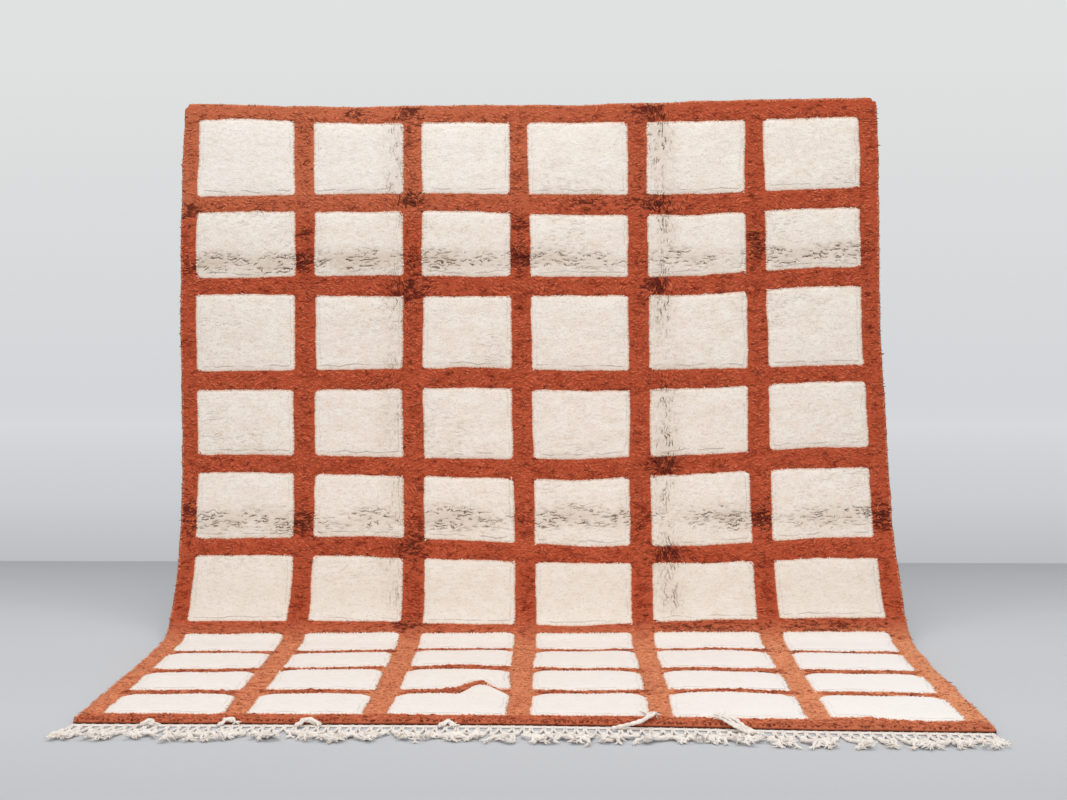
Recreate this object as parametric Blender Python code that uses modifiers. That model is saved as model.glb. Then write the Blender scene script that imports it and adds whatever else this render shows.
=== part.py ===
"""A beni ourain rug: deep wool pile in panels, hung by its top edge, with its front third slack on the floor.

Metres, +Z up. +X runs along the front edge, -Y points out of it along the floor, and the origin is on the
floor at the middle of the object's bounding box.

Places on the rug are (across, along): across runs from -1 at its left edge to +1 at its right edge, and
along is the distance in metres from the front edge, measured on the back of the woven ground.
"""
import math

import bmesh
import bpy
import numpy as np
from mathutils import Vector, noise

COLLECTION = "beni_ourain_rug"

# Size of the rug, and the thickness of its layers
WIDTH = 2.44                 # over the locks of both side edges
LENGTH = 3.042               # front edge to top edge, without the top edge's locks
GROUND = 0.004               # woven ground
LINE_PILE = 0.013            # pile over the ground along a line of the grid
PANEL_CROWN = 0.0045         # how far the middle of a panel stands above the lines
LUMP_HEIGHT = 0.0025         # unevenness of the pile
LUMP_SIZE = 0.14
FULL_THICKNESS = 0.024       # no part of the pile is thicker

# How it hangs: flat for FLOOR_RUN, then it turns up ever more slowly towards HANG_ANGLE
FLOOR_RUN = 1.05
BEND_LENGTH = 0.31
HANG_ANGLE = math.radians(87.8)
HANG_TURN = math.radians(0.85)      # the hung part is turned in its own plane, its right side higher
TURN_RAMP = 0.50                    # length of cloth over which the right side starts to rise
WAVE_DEPTH = 0.004                  # slack waves of the hung part, in and out
WAVE_WIDTH = 0.9
EDGE_WANDER = 0.004                 # how far the side edges wander from straight
CORNER_CUT = 0.012                  # the top corners are soft, so their points draw in

# The front edge isn't square to the sides: how far it reaches forward at places across the rug
FRONT_EDGE = (
    {"across": -0.030, "reach": 0.0},
    {"across": 0.295, "reach": 0.018},
    {"across": 0.636, "reach": 0.050},
    {"across": 1.000, "reach": 0.066},
)
FRONT_ROW = 0.34                    # length of the front row, which takes up that reach

# The grid of lines: where each column line lies across the rug at its front edge and at its top edge
COLUMN_LINES = (
    {"front": -0.652, "top": -0.660},
    {"front": -0.340, "top": -0.346},
    {"front": -0.030, "top": -0.036},
    {"front": 0.295, "top": 0.310},
    {"front": 0.636, "top": 0.646},
)
COLUMN_LINE_WIDTH = 0.064
LEFT_BORDER = 0.052
RIGHT_BORDER = 0.062
TOP_BORDER = 0.054
FRONT_BORDER = 0.056
ROW_LINE_WIDTH = 0.058
ROW_LINES = (
    # where each line lies along the rug, at its left edge, its middle and its right edge
    {"left": 0.315, "middle": 0.345, "right": 0.342},
    {"left": 0.588, "middle": 0.655, "right": 0.632},
    {"left": 0.880, "middle": 0.942, "right": 0.915},
    {"left": 1.197, "middle": 1.178, "right": 1.202},
    {"left": 1.538, "middle": 1.486, "right": 1.485},
    {"left": 1.826, "middle": 1.780, "right": 1.811},
    {"left": 2.112, "middle": 2.090, "right": 2.097},
    {"left": 2.438, "middle": 2.411, "right": 2.426},
    {"left": 2.729, "middle": 2.701, "right": 2.706},
)
PANEL_STEPS_ACROSS = (0.0, 0.2, 0.5, 0.8, 1.0)      # shares of a panel's width that get a mesh line
PANEL_STEPS_ALONG = (0.0, 0.3, 0.7, 1.0)

# Folds left by storage, where the pile opens: a trough along the rug or across it
CREASES = (
    # runs, where its middle lies, where it starts and ends the other way, half width, depth
    {"runs": "along", "at": -0.37, "start": 1.10, "end": 3.05, "half_width": 0.060, "depth": 0.0045},
    {"runs": "along", "at": 0.34, "start": 1.00, "end": 3.05, "half_width": 0.055, "depth": 0.0050},
    {"runs": "across", "at": 2.500, "start": -1.00, "end": 1.00, "half_width": 0.050, "depth": 0.0045},
    {"runs": "across", "at": 1.600, "start": -1.00, "end": 1.00, "half_width": 0.050, "depth": 0.0040},
)

# Locks of pile that stand out of the side and top edges
LOCK_REACH = 0.010
LOCK_REACH_SPREAD = 0.35     # share by which a lock's reach varies either way
LOCK_TIP_LENGTH = 0.62       # a lock's tip as a share of its root, along the edge
LOCK_TIP_THICKNESS = 0.50

# Fringe at the front edge
FACES_FRONT = -0.9           # a rim face whose normal has less y than this is on the front edge
STRIP_GAP = 0.0003           # between the rug's front edge and the strip that carries the fringe
STRIP_DEPTH = 0.012
STRIP_THICKNESS = 0.005
STRIP_INSET = 0.012          # the strip is this much shorter than the rug's edge at either end
KNOT_GROUPS = 32
STRANDS_PER_GROUP = 4
GROUP_LEAN = 0.010           # how far a group's knot lies to the side of its roots
FRINGE_STEPS = (
    # distance from the strip, pitch of the strands within a group, their size, and their share of the
    # group's lean
    {"reach": 0.045, "pitch": 0.0125, "width": 0.0072, "height": 0.008, "lean": 0.4},
    {"reach": 0.085, "pitch": 0.0072, "width": 0.0062, "height": 0.014, "lean": 1.0},
    {"reach": 0.120, "pitch": 0.0092, "width": 0.0068, "height": 0.009, "lean": 1.2},
    {"reach": 0.175, "pitch": 0.0112, "width": 0.0040, "height": 0.005, "lean": 1.5},
)
TIP_SPREAD = 0.020           # how much the strands' lengths differ

WOOL = {"colour": (0.83, 0.79, 0.72, 1.0), "roughness": 0.95}
YARN = {"colour": (0.80, 0.75, 0.66, 1.0), "roughness": 0.90}


def smooth(share):
    """A soft ramp from 0 to 1."""
    share = min(max(share, 0.0), 1.0)
    return share * share * (3.0 - 2.0 * share)


def lump(x, y, seed):
    """Smooth unevenness between about -1 and 1."""
    return 2.0 * noise.noise(Vector((x, y, seed)))


def hang_profile(step=0.005):
    """Side view of the back of the ground: tables of along, forward-to-back place and height."""
    along = np.arange(0.0, LENGTH + step, step)
    risen = np.clip(along - FLOOR_RUN, 0.0, None)
    slope = HANG_ANGLE * (1.0 - np.exp(-risen / BEND_LENGTH))
    middle = (slope[1:] + slope[:-1]) / 2.0
    back = np.concatenate([[0.0], np.cumsum(np.cos(middle)) * step])
    height = np.concatenate([[0.0], np.cumsum(np.sin(middle)) * step])
    return along, back, height


PROFILE = hang_profile()


def flat_x(across, along):
    """How far to the side a place on the rug lies before the hung part is turned."""
    ground_half = WIDTH / 2.0 - LOCK_REACH
    return across * (ground_half + EDGE_WANDER * lump(3.0 * across, 2.2 * along, 4.0))


def front_edge(x):
    """The y of the front edge, which is straight between the places of FRONT_EDGE."""
    corners = [flat_x(corner["across"], 0.0) for corner in FRONT_EDGE]
    return -float(np.interp(x, corners, [corner["reach"] for corner in FRONT_EDGE]))


def place(across, along):
    """The point of the back of the ground at a place on the rug, with the square front edge at y = 0."""
    table, backs, heights = PROFILE
    back = float(np.interp(along, table, backs))
    height = float(np.interp(along, table, heights))
    x = flat_x(across, along)
    back += front_edge(x) * max(0.0, 1.0 - along / FRONT_ROW)
    hung = smooth((along - FLOOR_RUN) / TURN_RAMP)
    wave = WAVE_DEPTH * hung * lump(x / WAVE_WIDTH, along / WAVE_WIDTH, 9.0)
    return Vector((
        x - height * math.sin(HANG_TURN),
        back + wave,
        height + hung * x * math.sin(HANG_TURN),
    ))


def row_line(row, across):
    """Where a row line lies along the rug, on a curve through its left, middle and right."""
    bow = (row["left"] + row["right"]) / 2.0 - row["middle"]
    return row["middle"] + across * (row["right"] - row["left"]) / 2.0 + bow * across * across


def column_line(column, along):
    """Where a column line lies across the rug, on a straight run from its front to its top."""
    return column["front"] + (column["top"] - column["front"]) * along / LENGTH


def panel_spans(lines, line_width, start, end, start_border, end_border):
    """Start and end of every panel between two edges with borders."""
    starts = [start + start_border] + [line + line_width / 2.0 for line in lines]
    ends = [line - line_width / 2.0 for line in lines] + [end - end_border]
    return list(zip(starts, ends))


def column_spans(along):
    """Panels across the rug at a place along it, in shares from -1 to 1."""
    half = WIDTH / 2.0
    lines = [column_line(column, along) for column in COLUMN_LINES]
    return panel_spans(lines, COLUMN_LINE_WIDTH / half, -1.0, 1.0, LEFT_BORDER / half, RIGHT_BORDER / half)


def row_spans(across):
    """Panels along the rug at a place across it, in metres."""
    lines = [row_line(row, across) for row in ROW_LINES]
    return panel_spans(lines, ROW_LINE_WIDTH, 0.0, LENGTH, FRONT_BORDER, TOP_BORDER)


def mesh_lines(spans, steps, start, end):
    """Places of the mesh's lines: both edges, the middle of every grid line, and steps over every panel."""
    places = [start]
    for index, (low, high) in enumerate(spans):
        if index > 0:
            places.append((spans[index - 1][1] + low) / 2.0)
        places += [low + (high - low) * step for step in steps]
    return places + [end]


def crown(value, spans):
    """How far a panel has risen at a place: 0 on a line, 1 over the middle of a panel."""
    for low, high in spans:
        if low < value < high:
            from_middle = 2.0 * (value - low) / (high - low) - 1.0
            return 1.0 - from_middle ** 4
    return 0.0


def crease_depth(across, along):
    """How deep the fold troughs are at a place on the rug."""
    total = 0.0
    for crease in CREASES:
        runs_along = crease["runs"] == "along"
        offset = (across - crease["at"]) * WIDTH / 2.0 if runs_along else along - crease["at"]
        run = along if runs_along else across
        if crease["start"] <= run <= crease["end"]:
            total = max(total, crease["depth"] * math.exp(-(offset / crease["half_width"]) ** 2))
    return total


def thickness(across, along):
    """Ground and pile together at a place on the rug."""
    risen = crown(across, column_spans(along)) * crown(along, row_spans(across))
    x = across * WIDTH / 2.0
    lumps = LUMP_HEIGHT * lump(x / LUMP_SIZE, along / LUMP_SIZE, 1.0)
    total = GROUND + LINE_PILE + PANEL_CROWN * risen + lumps - crease_depth(across, along)
    return min(total, FULL_THICKNESS)


def wool_material(name, finish):
    material = bpy.data.materials.new(name)
    material.use_nodes = True
    shader = material.node_tree.nodes["Principled BSDF"]
    shader.inputs["Base Color"].default_value = finish["colour"]
    shader.inputs["Roughness"].default_value = finish["roughness"]
    shader.inputs["Metallic"].default_value = 0.0
    return material


def add_grid(name, cells_x, cells_y):
    """A flat grid in the object's collection, with its mesh lines at whole numbers from 0."""
    bpy.ops.mesh.primitive_grid_add(x_subdivisions=cells_x, y_subdivisions=cells_y, size=2.0)
    grid = bpy.context.object
    grid.name = name
    for vertex in grid.data.vertices:
        column = round((vertex.co.x + 1.0) / 2.0 * cells_x)
        row = round((vertex.co.y + 1.0) / 2.0 * cells_y)
        vertex.co = (column, row, 0.0)
    for owner in list(grid.users_collection):
        owner.objects.unlink(grid)
    bpy.data.collections[COLLECTION].objects.link(grid)
    return grid


def thicken(grid, depth, weights=None):
    """Give a grid its thickness and keep the result as its mesh; the rim's faces get material 1."""
    solidify = grid.modifiers.new("thickness", "SOLIDIFY")
    solidify.thickness = depth
    solidify.offset = 1.0
    solidify.material_offset_rim = 1
    if weights is not None:
        group = grid.vertex_groups.new(name="thickness")
        for index, weight in enumerate(weights):
            group.add([index], weight, "REPLACE")
        solidify.vertex_group = group.name
    rim_slots = 2
    while len(grid.data.materials) < rim_slots:
        grid.data.materials.append(None)
    evaluated = grid.evaluated_get(bpy.context.evaluated_depsgraph_get())
    mesh = bpy.data.meshes.new_from_object(evaluated)
    grid.modifiers.clear()
    grid.vertex_groups.clear()
    grid.data = mesh


def finish_mesh(thing, bm, material):
    """Write a mesh back with outward faces and one material."""
    for face in bm.faces:
        face.material_index = 0
    bmesh.ops.recalc_face_normals(bm, faces=bm.faces)
    bm.to_mesh(thing.data)
    bm.free()
    thing.data.materials.clear()
    thing.data.materials.append(material)


def grow_rim_locks(bm):
    """Draw every face of the side and top rims out into a tapered lock of pile."""
    rooted = [face for face in bm.faces if face.material_index == 1 and face.normal.y > FACES_FRONT]
    outward = {}
    grown = bmesh.ops.extrude_discrete_faces(bm, faces=rooted)["faces"]
    for face in grown:
        face.normal_update()
        outward[face] = face.normal.copy()
    for face, normal in outward.items():
        centre = face.calc_center_median()
        ragged = lump(17.0 * centre.x, 17.0 * centre.y + 13.0 * centre.z, 6.0)
        reach = LOCK_REACH * (1.0 - LOCK_REACH_SPREAD * (0.5 - 0.5 * ragged))
        along_edge = max((edge.verts[1].co - edge.verts[0].co for edge in face.edges),
                         key=lambda side: side.length).normalized()
        for vertex in face.verts:
            offset = vertex.co - centre
            run = offset.dot(along_edge)
            rest = offset - along_edge * run
            vertex.co = (centre + normal * reach + along_edge * run * LOCK_TIP_LENGTH
                         + rest * LOCK_TIP_THICKNESS)


def add_rug():
    front_lines = mesh_lines(column_spans(0.0), PANEL_STEPS_ACROSS, -1.0, 1.0)
    top_lines = mesh_lines(column_spans(LENGTH), PANEL_STEPS_ACROSS, -1.0, 1.0)
    along_lines = [mesh_lines(row_spans(across), PANEL_STEPS_ALONG, 0.0, LENGTH) for across in front_lines]
    rug = add_grid("rug", len(front_lines) - 1, len(along_lines[0]) - 1)
    weights = []
    for vertex in rug.data.vertices:
        column = round(vertex.co.x)
        along = along_lines[column][round(vertex.co.y)]
        across = front_lines[column] + (top_lines[column] - front_lines[column]) * along / LENGTH
        weights.append(thickness(across, along) / FULL_THICKNESS)
        vertex.co = place(across, along)
        if abs(across) == 1.0 and along == LENGTH:
            vertex.co += Vector((-across * CORNER_CUT, 0.0, -CORNER_CUT))
    thicken(rug, FULL_THICKNESS, weights)
    bm = bmesh.new()
    bm.from_mesh(rug.data)
    grow_rim_locks(bm)
    finish_mesh(rug, bm, wool_material("wool_pile", WOOL))
    return rug


def strand_sections(index, pitch, first_root):
    """The sections of one fringe strand: where its middle lies, and its width and height."""
    group, member = divmod(index, STRANDS_PER_GROUP)
    group_middle = first_root + pitch * (group * STRANDS_PER_GROUP + (STRANDS_PER_GROUP - 1) / 2.0)
    lean = GROUP_LEAN * lump(2.1 * group_middle, 0.0, 12.0)
    longer = TIP_SPREAD * lump(0.9 * index, 5.0, 15.0)
    sections = []
    for step in FRINGE_STEPS:
        from_middle = (member - (STRANDS_PER_GROUP - 1) / 2.0) * step["pitch"]
        x = group_middle + from_middle + lean * step["lean"]
        reach = step["reach"] * (1.0 + longer / FRINGE_STEPS[-1]["reach"])
        y = front_edge(group_middle) - STRIP_GAP - STRIP_DEPTH - reach
        sections.append({"x": x, "y": y, "width": step["width"], "height": step["height"]})
    return sections


def draw_out_strands(bm, first_root, pitch):
    """Draw every other face of the strip's front out into a strand that rests on the floor."""
    faces = [face for face in bm.faces if face.material_index == 1 and face.normal.y < FACES_FRONT]
    faces.sort(key=lambda face: face.calc_center_median().x)
    tips = faces[1::2]
    sections = [strand_sections(index, pitch, first_root) for index in range(len(tips))]
    for step in range(len(FRINGE_STEPS)):
        tips = bmesh.ops.extrude_discrete_faces(bm, faces=tips)["faces"]
        tips.sort(key=lambda face: face.calc_center_median().x)
        for face, strand in zip(tips, sections):
            section = strand[step]
            centre = face.calc_center_median()
            for vertex in face.verts:
                side = math.copysign(section["width"] / 2.0, vertex.co.x - centre.x)
                level = section["height"] if vertex.co.z > centre.z else 0.0
                vertex.co = (section["x"] + side, section["y"], level)


def add_fringe():
    strands = KNOT_GROUPS * STRANDS_PER_GROUP
    cells = 2 * strands + 1
    left_end = -WIDTH / 2.0 + LOCK_REACH + STRIP_INSET
    cell_width = -2.0 * left_end / cells
    fringe = add_grid("fringe", cells, 1)
    for vertex in fringe.data.vertices:
        x = left_end + cell_width * vertex.co.x
        vertex.co = (x, front_edge(x) - STRIP_GAP - STRIP_DEPTH * (1.0 - vertex.co.y), 0.0)
    thicken(fringe, STRIP_THICKNESS)
    bm = bmesh.new()
    bm.from_mesh(fringe.data)
    draw_out_strands(bm, left_end + 1.5 * cell_width, 2.0 * cell_width)
    finish_mesh(fringe, bm, wool_material("fringe_yarn", YARN))
    return fringe


def centre_on_floor(things):
    """Move the meshes so that the middle of their bounding box is at the origin, across and front to back."""
    points = np.array([vertex.co for thing in things for vertex in thing.data.vertices])
    middle = (points.min(axis=0) + points.max(axis=0)) / 2.0
    for thing in things:
        for vertex in thing.data.vertices:
            vertex.co.x -= middle[0]
            vertex.co.y -= middle[1]


def main():
    for thing in list(bpy.data.objects):
        bpy.data.objects.remove(thing)
    parts = bpy.data.collections.new(COLLECTION)
    bpy.context.scene.collection.children.link(parts)
    centre_on_floor([add_rug(), add_fringe()])


main()
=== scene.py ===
"""The looks of a beni ourain rug: deep wool pile in cream panels and rust lines, with a knotted fringe.

Places on the rug are (x, along), as in its solids: along is the distance in metres from the front edge, on
the back of the woven ground. Most functions take numpy arrays of such places. The rug's own x and y start at
the middle of its square front edge, and SHIFT moves them to the frame's origin.
"""
import math

import bpy
import numpy as np
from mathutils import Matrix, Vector


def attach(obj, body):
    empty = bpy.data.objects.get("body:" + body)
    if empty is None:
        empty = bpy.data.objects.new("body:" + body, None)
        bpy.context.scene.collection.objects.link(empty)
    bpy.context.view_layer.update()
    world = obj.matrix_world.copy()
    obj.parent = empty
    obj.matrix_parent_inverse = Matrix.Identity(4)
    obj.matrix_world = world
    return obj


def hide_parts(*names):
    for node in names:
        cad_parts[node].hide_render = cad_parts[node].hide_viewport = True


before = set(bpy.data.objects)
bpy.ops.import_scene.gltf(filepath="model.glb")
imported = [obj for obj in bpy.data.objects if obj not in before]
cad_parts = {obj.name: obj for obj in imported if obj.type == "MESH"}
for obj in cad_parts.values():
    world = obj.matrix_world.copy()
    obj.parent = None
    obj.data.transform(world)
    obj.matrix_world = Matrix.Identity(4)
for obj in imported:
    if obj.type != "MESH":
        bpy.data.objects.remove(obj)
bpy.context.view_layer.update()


def mm(*rows):
    """A table in millimetres, or in thousandths, as an array."""
    return np.array(rows) / 1000.0


# Size of the rug, and the thickness of its layers
WIDTH = 2.44
LENGTH = 3.042
GROUND = 0.004               # woven ground
LINE_PILE = 0.013            # pile over the ground along a line of the grid
PANEL_CROWN = 0.0045
LUMP_HEIGHT = 0.0022
LUMP_SIZE = 0.14
LOCK_REACH = 0.010           # how far the pile stands out past the ground at its edges
GROUND_HALF = WIDTH / 2.0 - LOCK_REACH

# How it hangs: flat for FLOOR_RUN, then it turns up ever more slowly towards HANG_ANGLE
FLOOR_RUN = 1.05
BEND_LENGTH = 0.31
HANG_ANGLE = math.radians(87.8)
HANG_TURN = math.sin(math.radians(0.85))
TURN_RAMP = 0.50
WAVE_DEPTH = 0.004
WAVE_WIDTH = 0.9
FRONT_ROW = 0.34
FRONT_EDGE = mm((-30, 0), (295, 18), (636, 50), (1000, 66)).T    # share of the half width, and reach

# The sides of the rug and the inner edges of its borders, by the distance from the front edge
SIDES = mm(    # along, and the x of the left edge, the left inner, the right inner and the right
    (170, -1196, -1142, 1156, 1206), (780, -1197, -1146, 1154, 1208), (1050, -1203, -1148, 1163, 1219),
    (1330, -1209, -1159, 1164, 1222), (1630, -1206, -1159, 1154, 1213), (1940, -1210, -1164, 1154, 1210),
    (2250, -1219, -1171, 1144, 1202), (2560, -1217, -1171, 1147, 1204), (2860, -1208, -1160, 1152, 1208),
    (3040, -1199, -1155, 1152, 1207)).T

# The lines along the rug: the x of each line's middle, and the width of all, at these distances
COLUMN_PLACES = mm(170, 1200, 2100, 2860)
COLUMN_LINES = mm((-787, -789, -792, -788), (-410, -407, -415, -408), (-26, -30, -35, -36),
                  (356, 359, 373, 378), (774, 777, 782, 787))
COLUMN_LINE_WIDTHS = mm(66, 71, 72, 67)

# The lines across it: the distance of each line's middle from the front edge, and its width, at these x
ROW_PLACES = mm(-980, -600, -220, 165, 575, 965)
ROW_LINES = mm(
    (317, 330, 340, 337, 362, 321), (615, 662, 686, 649, 663, 622), (909, 923, 972, 953, 989, 934),
    (1181, 1185, 1177, 1172, 1192, 1195), (1517, 1514, 1494, 1473, 1470, 1487),
    (1809, 1796, 1781, 1772, 1785, 1802), (2099, 2095, 2098, 2080, 2082, 2093),
    (2429, 2423, 2415, 2411, 2406, 2429), (2717, 2714, 2710, 2695, 2690, 2703))
ROW_LINE_WIDTHS = mm(
    (56, 56, 58, 46, 46, 46), (52, 32, 68, 40, 60, 58), (38, 40, 38, 34, 36, 36),
    (72, 62, 46, 40, 60, 66), (61, 73, 70, 61, 61, 73), (61, 67, 65, 72, 65, 72),
    (66, 70, 70, 70, 68, 58), (57, 73, 70, 66, 67, 66), (56, 63, 63, 73, 73, 68))
FRONT_BORDER = 0.046
FRONT_OVERHANG = 0.016       # how far the pile falls past the front edge of the ground
TOP_INNER = mm(3016, 2993, 2990, 2984, 2981, 2987)
TOP_PLACES = mm(-1200, -980, -600, -220, 165, 575, 965)
TOP_EDGE = mm(3064, 3056, 3043, 3045, 3037, 3044, 3045)
EDGE_WOBBLE = 0.0034         # how far the lines' edges wander
SLIP_AT = -0.142             # where the first line across slips back, with its half width and reach
SLIP_HALF_WIDTH = 0.046
SLIP_REACH = 0.118
CORNER_ROUND = 0.009         # radius of the panels' corners
TOP_CORNER_ROUND = 0.014     # and of the rug's own top corners
FAR_ROUND = np.full(21, CORNER_ROUND)    # at the far end of each segment: large on the floor
FAR_ROUND[1:8:2] = mm(58, 55, 45, 18)

# Bands where the pile has opened along an old fold: the way it runs, its middle (along the rug, as a share
# of the half width), its half width and how open it is
CREASES = (("along", -0.385, 0.055, 0.44), ("along", 0.378, 0.046, 0.74),
           ("across", 2.505, 0.034, 1.00), ("across", 1.600, 0.042, 0.95))
CREASE_START = 1.20

# Where the long pile of the lines has parted most, and its depth shows as painted shade: x, along, width,
# length, depth
DARK_SPOTS = mm(
    (-795, 2605, 34, 30, 1000), (-795, 2505, 36, 44, 1000), (-795, 1610, 36, 46, 1000),
    (-415, 3035, 50, 34, 1000), (-410, 2725, 52, 34, 1000), (-415, 2415, 72, 46, 1000),
    (-415, 1515, 58, 42, 1000), (-430, 1190, 60, 36, 1000), (-40, 2630, 36, 34, 1000),
    (-40, 2510, 38, 44, 1000), (415, 3020, 60, 36, 1000), (425, 2700, 85, 36, 1000),
    (430, 2410, 52, 38, 1000), (445, 1790, 56, 42, 1000), (450, 1470, 56, 46, 1000),
    (790, 2560, 34, 50, 1000), (785, 1595, 38, 48, 1000), (1190, 1590, 36, 55, 1000),
    (-1190, 1640, 34, 60, 1000), (-1190, 2690, 34, 40, 1000), (195, 2705, 50, 18, 1000),
    (-610, 3030, 50, 18, 1000), (560, 1190, 150, 38, 750), (980, 1195, 190, 38, 700),
    (790, 960, 50, 22, 600), (980, 934, 60, 20, 700))

# Mesh spacing over the lines, over the panels and across a crease
PILE_SPACING = (0.0085, 0.0064, 0.0040)
GROUND_SPACING = (0.0260, 0.0420, None)
# Side view of the rim, from the last of the flat pile outwards: how far out, and its share of the height
RIM = ((0.0, 1.00), (0.0045, 0.88), (0.0080, 0.68), (0.0095, 0.45), (0.0080, 0.22), (0.0030, 0.05))

# Locks of the long pile
ROOT_DEPTH = 0.0020          # how far the roots' surface lies under the tops of the locks
LOCK_ROOT = 0.0030
LOCK_PITCH = 0.0106
CRACK_PITCH = 0.0115         # from one row of cracks to the next in a crease
EDGE_LOCK_PITCH = 0.0090
WISP_PITCH = 0.0058
FLAT_END = 1.10              # up to here the lines across sink between the panels, and get painted shade
FLOOR_END = 1.26             # past this the rug no longer rests on the floor
DIM_AT = 1.34                # where the pile faces up out of the bend, and shades itself
DIM_HALF_WIDTH = 0.13
JITTER = 0.38                # share of the pitch by which the locks are moved
RIM_WIDTH = 0.012            # the locks in this strip lean outwards
LOCK_VERTICES = 7

# The fringe, and the back of the ground
FRINGE_LEGS = 86
CORD_POINTS = 32
STRAND_POINTS = 26
FRAYED_HAIRS = 7
NET_REACH = 0.118            # from the edge of the ground to the knots of the net
LOOSE_LENGTH = 0.076
CLUMP_PITCH = 0.088
BINDING_ROWS = 4
BINDING_REACH = 0.0290
BINDING_PITCH = 0.0042
KNOT_ROW_SCALE = 5.5         # of the wave texture: about 18 rows of knots in a metre
KNOT_COLUMN_SCALE = 6.5


class Noise:
    """Smooth noise over a plane, between about -1 and 1, the same on every run."""

    def __init__(self, seed):
        rng = np.random.default_rng(seed)
        turn = rng.random(256) * 2.0 * math.pi
        self.slope_x = np.cos(turn)
        self.slope_y = np.sin(turn)
        self.order = rng.permutation(256)

    def corner(self, cell_x, cell_y, x, y):
        pick = self.order[(self.order[cell_x & 255] + cell_y) & 255]
        return self.slope_x[pick] * x + self.slope_y[pick] * y

    def __call__(self, x, y):
        x, y = np.broadcast_arrays(np.asarray(x, float), np.asarray(y, float))
        cell_x, cell_y = (np.floor(value).astype(int) for value in (x, y))
        x, y = x - cell_x, y - cell_y
        ease_x, ease_y = (t * t * t * (t * (t * 6.0 - 15.0) + 10.0) for t in (x, y))
        low, high = (self.corner(cell_x, cell_y + up, x, y - up) * (1.0 - ease_x)
                     + self.corner(cell_x + 1, cell_y + up, x - 1.0, y - up) * ease_x for up in (0, 1))
        return 1.5 * (low * (1.0 - ease_y) + high * ease_y)


def smooth(share):
    """A soft ramp from 0 to 1."""
    share = np.clip(share, 0.0, 1.0)
    return share * share * (3.0 - 2.0 * share)


def bell(offset, half_width):
    return np.exp(-(offset / half_width) ** 2)


# ---- the shape of the drape

def hang_profile(step=0.004):
    """Side view of the back of the ground: along, forward-to-back place, height and slope."""
    along = np.arange(0.0, LENGTH + 0.12, step)
    slope = HANG_ANGLE * (1.0 - np.exp(-np.clip(along - FLOOR_RUN, 0.0, None) / BEND_LENGTH))
    middle = (slope[1:] + slope[:-1]) / 2.0
    back, height = (np.concatenate([[0.0], np.cumsum(part(middle)) * step]) for part in (np.cos, np.sin))
    return along, back, height, slope


PROFILE = hang_profile()
WAVES = Noise(9)


def front_edge(x):
    """The y of the front edge."""
    return -np.interp(x, FRONT_EDGE[0] * GROUND_HALF, FRONT_EDGE[1])


def mesh_points(mesh):
    points = np.empty(len(mesh.vertices) * 3, np.float32)
    mesh.vertices.foreach_get("co", points)
    return points.reshape(-1, 3)


def frame_shift():
    """From the rug's own origin to the frame's: its solid touches the floor over known places."""
    points = mesh_points(bpy.data.objects["rug"].data)
    on_floor = points[points[:, 2] < 0.0001]
    x = (on_floor[:, 0].min() + on_floor[:, 0].max()) / 2.0
    return np.array([x, points[:, 1].min() + FRONT_EDGE[1][-1], 0.0])


SHIFT = frame_shift()


def place(x, along, lift):
    """Points in the frame, where lift is the height over the back of the ground."""
    back, height, slope = (np.interp(along, PROFILE[0], values) for values in PROFILE[1:])
    turned_x = x - height * HANG_TURN
    back = back + np.minimum(along, 0.0) + front_edge(x) * np.clip(1.0 - along / FRONT_ROW, 0.0, 1.0)
    hung = smooth((along - FLOOR_RUN) / TURN_RAMP)
    back = back + WAVE_DEPTH * hung * WAVES(x / WAVE_WIDTH, along / WAVE_WIDTH)
    height = height + hung * x * HANG_TURN
    return np.stack([turned_x, back - lift * np.sin(slope), height + lift * np.cos(slope)], axis=-1) + SHIFT


# ---- the grid of the lines

WOBBLE = [Noise(100 + index) for index in range(40)]


def wobble(index, run):
    """How far edge number index wanders at a place along it."""
    source = WOBBLE[index]
    return EDGE_WOBBLE * (0.7 * source(run / 0.11, 0.5) + 0.45 * source(run / 0.031, 7.5))


def corner_shift(distance, radius):
    """How far a side has drawn in, at a distance from its end, to round its corner."""
    inside = np.clip(radius - distance, 0.0, radius)
    return radius - np.sqrt(radius * radius - inside * inside)


def column_edge(index, along):
    """The x of edge number index, of 14: left, left inner, both edges of each line, right inner, right."""
    if 1 < index < 12:
        middle = np.interp(along, COLUMN_PLACES, COLUMN_LINES[(index - 2) // 2])
        half = np.interp(along, COLUMN_PLACES, COLUMN_LINE_WIDTHS) / 2.0
        half = half * (1.0 + 0.10 * WOBBLE[20 + index](along / 0.33, 3.5))
        return middle + (-half if index % 2 == 0 else half) + wobble(index, along)
    edge = np.interp(along, SIDES[0], SIDES[index + 1 if index < 2 else index - 9])
    if index == 0:
        edge = edge + corner_shift(TOP_EDGE[0] - along, TOP_CORNER_ROUND)
    if index == 13:
        edge = edge - corner_shift(TOP_EDGE[-1] - along, TOP_CORNER_ROUND)
    return edge + wobble(index, along)


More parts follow.
